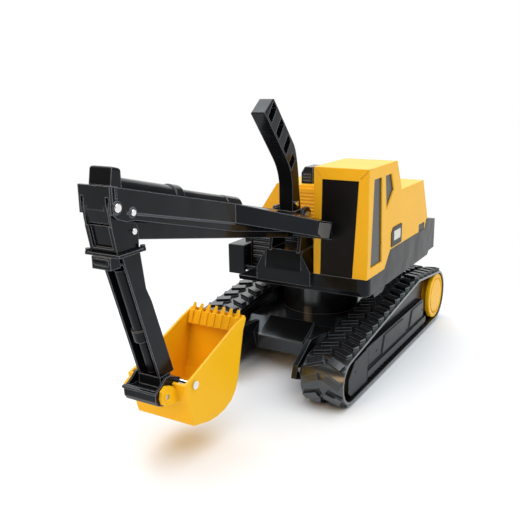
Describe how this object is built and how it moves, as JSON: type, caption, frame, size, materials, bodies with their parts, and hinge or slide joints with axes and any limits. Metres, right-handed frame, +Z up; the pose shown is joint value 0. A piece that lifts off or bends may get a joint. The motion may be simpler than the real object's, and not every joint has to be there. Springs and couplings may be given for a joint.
{
  "type": "toy excavator",
  "caption": "Hand-worked toy excavator with crawler tracks, turning cab, tilting boom, stick and toothed bucket, and a lever on the boom.",
  "frame": {"origin": "middle of the bounding box at ground level, under the boom's foot", "axes": "+X forward towards the bucket, +Y to the cab's side, +Z up"},
  "size_m": [0.6047, 0.23, 0.3289],
  "materials": {
    "yellow_body": "satin yellow body paint",
    "yellow_gloss": "moulded yellow plastic",
    "black_gloss": "glossy black plastic",
    "black_frame": "satin black plastic",
    "track_rubber": "moulded rubber",
    "window_black": "dark tinted panel",
    "label": "blank plate",
    "chrome_pin": "polished",
    "steel": "plain steel"
  },
  "bodies": {
    "undercarriage": {"chassis_hull": "black_frame", "belly_plate": "black_frame", "belly_screws": "steel", "slew_ring_lower": "black_frame", "inner_plates": "black_frame", "track_frame_left": "black_frame", "track_frame_right": "black_frame", "side_cover_left": "black_frame", "side_cover_right": "black_frame", "cover_screws": "steel", "track_belt_left": "track_rubber", "track_belt_right": "track_rubber", "front_axle": "steel", "rear_axle": "steel", "axle_caps": "black_frame"},
    "superstructure": {"deck_tray": "black_gloss", "deck_latch": "black_gloss", "deck_step": "black_gloss", "deck_screws": "steel", "slew_ring_upper": "black_frame", "slew_bolt": "steel", "right_box": "black_gloss", "boom_mount": "black_gloss", "boom_pivot_pin": "steel", "body_shell": "yellow_body", "tail_weight": "black_gloss", "front_window": "window_black", "side_window_front": "window_black", "side_window_rear": "window_black", "hood_grille": "yellow_body", "air_cleaner": "black_gloss", "label_plate": "label"},
    "boom": {"boom_channel": "black_gloss", "boom_wings": "black_gloss", "boom_end_cap": "black_gloss", "boom_cylinder": "black_gloss", "boom_cylinder_rod": "black_gloss", "stick_pivot_pin": "chrome_pin", "cap_rivets": "chrome_pin"},
    "lever": {"control_lever": "black_gloss", "lever_screw": "chrome_pin"},
    "link": {"push_link": "black_gloss", "link_rear_pin": "steel", "link_front_pin": "chrome_pin"},
    "stick": {"stick_arm": "black_gloss", "stick_collar": "black_gloss", "stick_cylinder": "black_gloss", "stick_rod": "black_gloss", "stick_foot": "black_gloss", "bucket_pivot_pin": "steel"},
    "bucket": {"bucket_shell": "yellow_gloss", "tooth_bar": "yellow_gloss", "bucket_cross_bar": "chrome_pin", "cross_bar_caps": "chrome_pin"},
    "rear_wheel_set_left": {"rear_wheel_left": "yellow_gloss", "rear_wheel_disc_left": "yellow_gloss"},
    "front_wheel_set_left": {"front_wheel_left": "yellow_gloss"},
    "rear_wheel_set_right": {"rear_wheel_right": "yellow_gloss", "rear_wheel_disc_right": "yellow_gloss"},
    "front_wheel_set_right": {"front_wheel_right": "yellow_gloss"}
  },
  "joints": [
    {"name": "slew", "type": "hinge", "parent": "undercarriage", "child": "superstructure", "pos_m": [-0.112, 0, 0.1], "axis": [0, 0, 1], "continuous": true},
    {"name": "boom_tilt", "type": "hinge", "parent": "superstructure", "child": "boom", "pos_m": [-0.0264, 0, 0.1906], "axis": [0, 1, 0], "range_deg": [-28, 9]},
    {"name": "stick_tilt", "type": "hinge", "parent": "boom", "child": "stick", "pos_m": [0.295, 0, 0.255], "axis": [0, 1, 0], "range_deg": [-34, 11]},
    {"name": "lever_tilt", "type": "hinge", "parent": "boom", "child": "lever", "pos_m": [-0.0264, 0, 0.1906], "axis": [0, 1, 0], "range_deg": [-34, 11]},
    {"name": "link_swing", "type": "hinge", "parent": "lever", "child": "link", "pos_m": [-0.046, 0, 0.168], "axis": [0, 1, 0], "range_deg": [-11, 34]},
    {"name": "bucket_tilt", "type": "hinge", "parent": "stick", "child": "bucket", "pos_m": [0.2525, 0, 0.077], "axis": [0, 1, 0], "range_deg": [-100, 0]},
    {"name": "rear_wheel_spin_left", "type": "hinge", "parent": "undercarriage", "child": "rear_wheel_set_left", "pos_m": [-0.262, 0, 0.04], "axis": [0, 1, 0], "continuous": true},
    {"name": "front_wheel_spin_left", "type": "hinge", "parent": "undercarriage", "child": "front_wheel_set_left", "pos_m": [0.049, 0, 0.03], "axis": [0, 1, 0], "continuous": true},
    {"name": "rear_wheel_spin_right", "type": "hinge", "parent": "undercarriage", "child": "rear_wheel_set_right", "pos_m": [-0.262, 0, 0.04], "axis": [0, 1, 0], "continuous": true},
    {"name": "front_wheel_spin_right", "type": "hinge", "parent": "undercarriage", "child": "front_wheel_set_right", "pos_m": [0.049, 0, 0.03], "axis": [0, 1, 0], "continuous": true}
  ],
  "couplings": [
    {"joint": "lever_tilt", "follows": "stick_tilt", "ratio": 1},
    {"joint": "link_swing", "follows": "stick_tilt", "ratio": -1},
    {"joint": "front_wheel_spin_left", "follows": "rear_wheel_spin_left", "ratio": 1.4348},
    {"joint": "front_wheel_spin_right", "follows": "rear_wheel_spin_right", "ratio": 1.4348}
  ]
}
